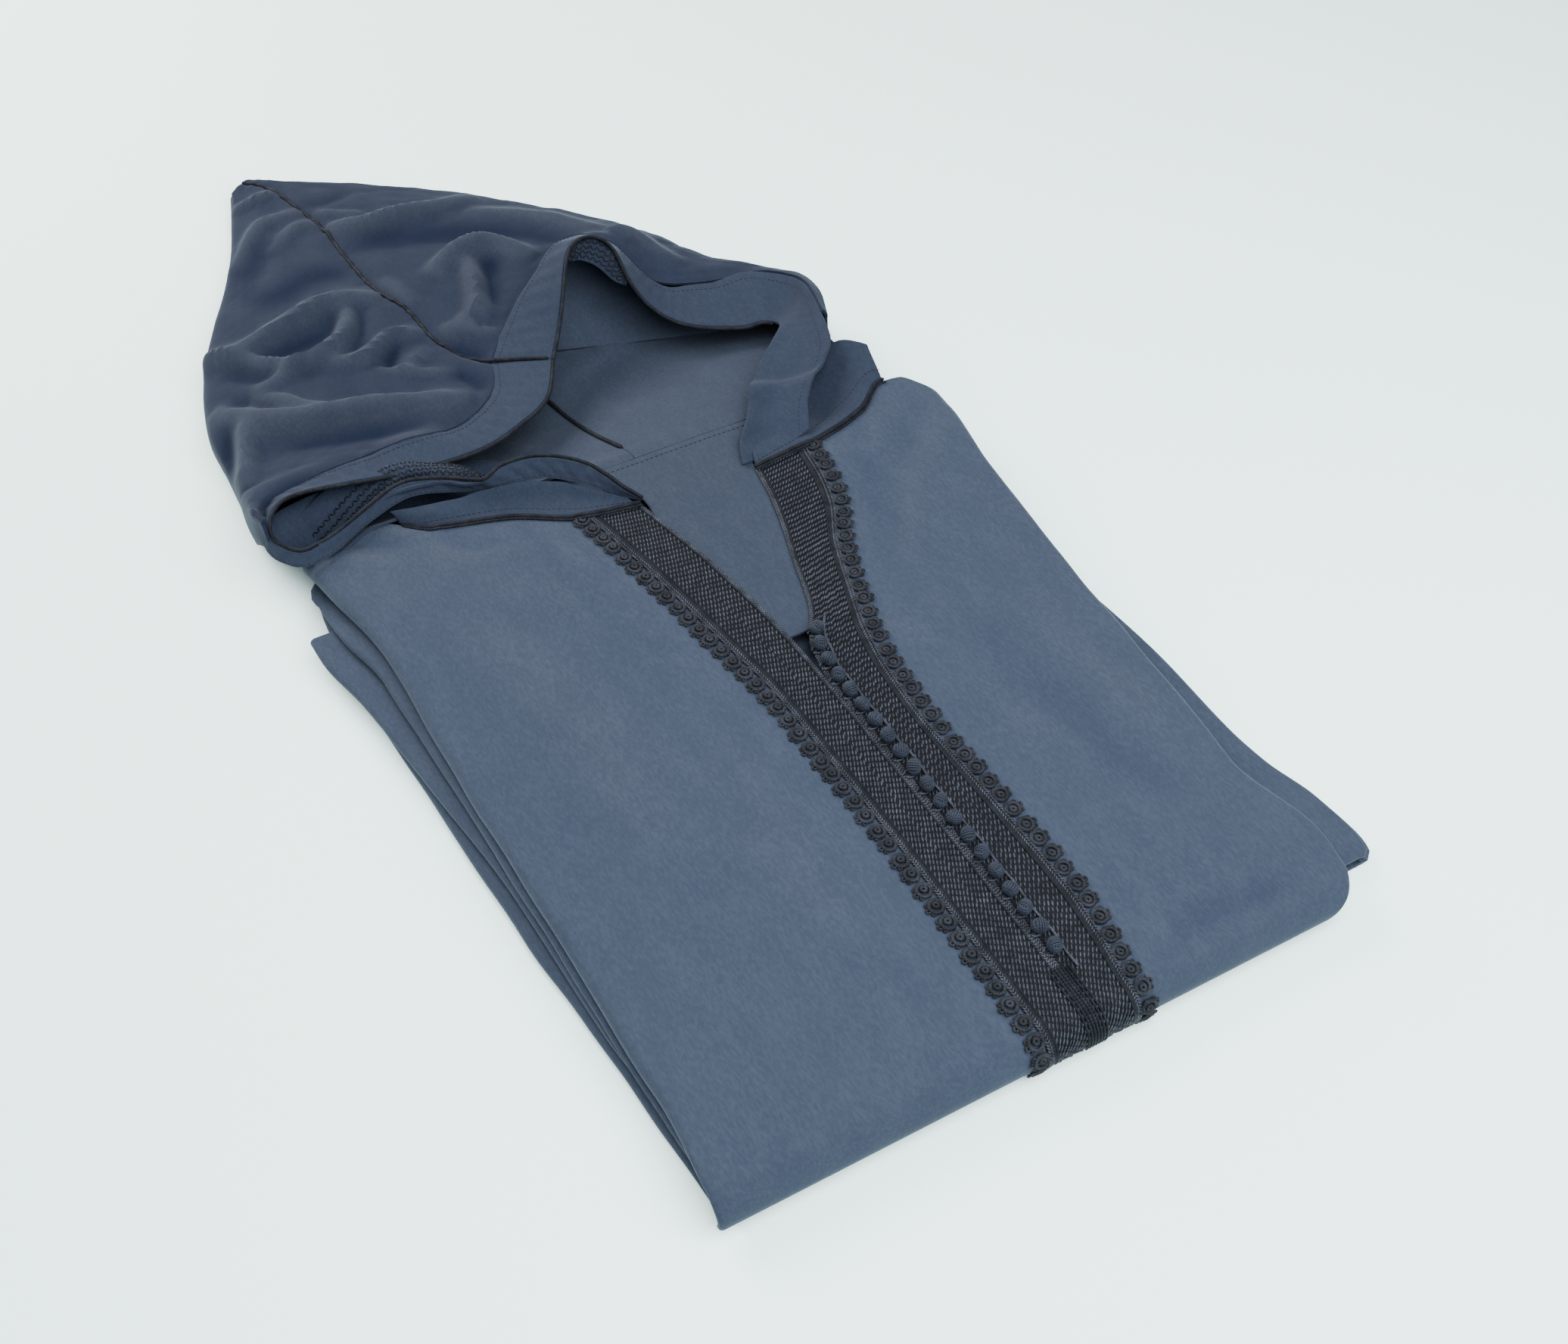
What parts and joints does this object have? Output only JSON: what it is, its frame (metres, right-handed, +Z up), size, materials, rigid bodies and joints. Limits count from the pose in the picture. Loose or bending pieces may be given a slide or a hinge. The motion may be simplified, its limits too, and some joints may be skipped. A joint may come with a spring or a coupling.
{
  "type": "djellaba robe",
  "caption": "Hooded djellaba robe folded into a flat pile, front up, its pointed hood laid open beyond; braided bands and knotted ball buttons down the front.",
  "frame": {"origin": "on the surface it lies on, at the middle of the footprint of the pile and hood together", "axes": "+Y from the near fold of the pile towards the point of the hood; +X towards the robe's own left side; +Z up from the surface"},
  "size_m": [0.4607, 1.0024, 0.0781],
  "materials": {
    "brushed_cloth": "soft brushed twill, matte, slate blue",
    "cloth_inside": "inside of the same cloth, matte, slightly paler",
    "braid": "rows of fine twisted cord, charcoal, low sheen",
    "looped_edging": "worked loops of fine cord, charcoal",
    "cord": "twisted and plaited cord, charcoal",
    "knotted_button": "ball knot of the same cord, charcoal"
  },
  "bodies": {
    "root": {"back": "cloth_inside", "braid_left": "braid", "braid_right": "braid", "button_01": "knotted_button", "button_02": "knotted_button", "button_03": "knotted_button", "button_04": "knotted_button", "button_05": "knotted_button", "button_06": "knotted_button", "button_07": "knotted_button", "button_08": "knotted_button", "button_09": "knotted_button", "button_10": "knotted_button", "button_11": "knotted_button", "button_12": "knotted_button", "button_13": "knotted_button", "button_14": "knotted_button", "button_15": "knotted_button", "button_16": "knotted_button", "button_17": "knotted_button", "button_18": "knotted_button", "button_19": "knotted_button", "button_20": "knotted_button", "crown_cord": "cord", "folded_layers": "brushed_cloth", "front_left": "brushed_cloth", "front_right": "brushed_cloth", "hood_hem_left": "brushed_cloth", "hood_hem_right": "brushed_cloth", "hood_inside_left": "cloth_inside", "hood_inside_right": "cloth_inside", "hood_left": "brushed_cloth", "hood_neck_left": "brushed_cloth", "hood_neck_right": "brushed_cloth", "hood_right": "brushed_cloth", "hood_seam_cord": "cord", "neck_cord_left": "cord", "neck_cord_right": "cord", "picot_left": "looped_edging", "picot_right": "looped_edging", "rim_piping_left": "cord", "rim_piping_right": "cord", "sleeve_left": "brushed_cloth", "sleeve_right": "brushed_cloth"}
  },
  "joints": []
}
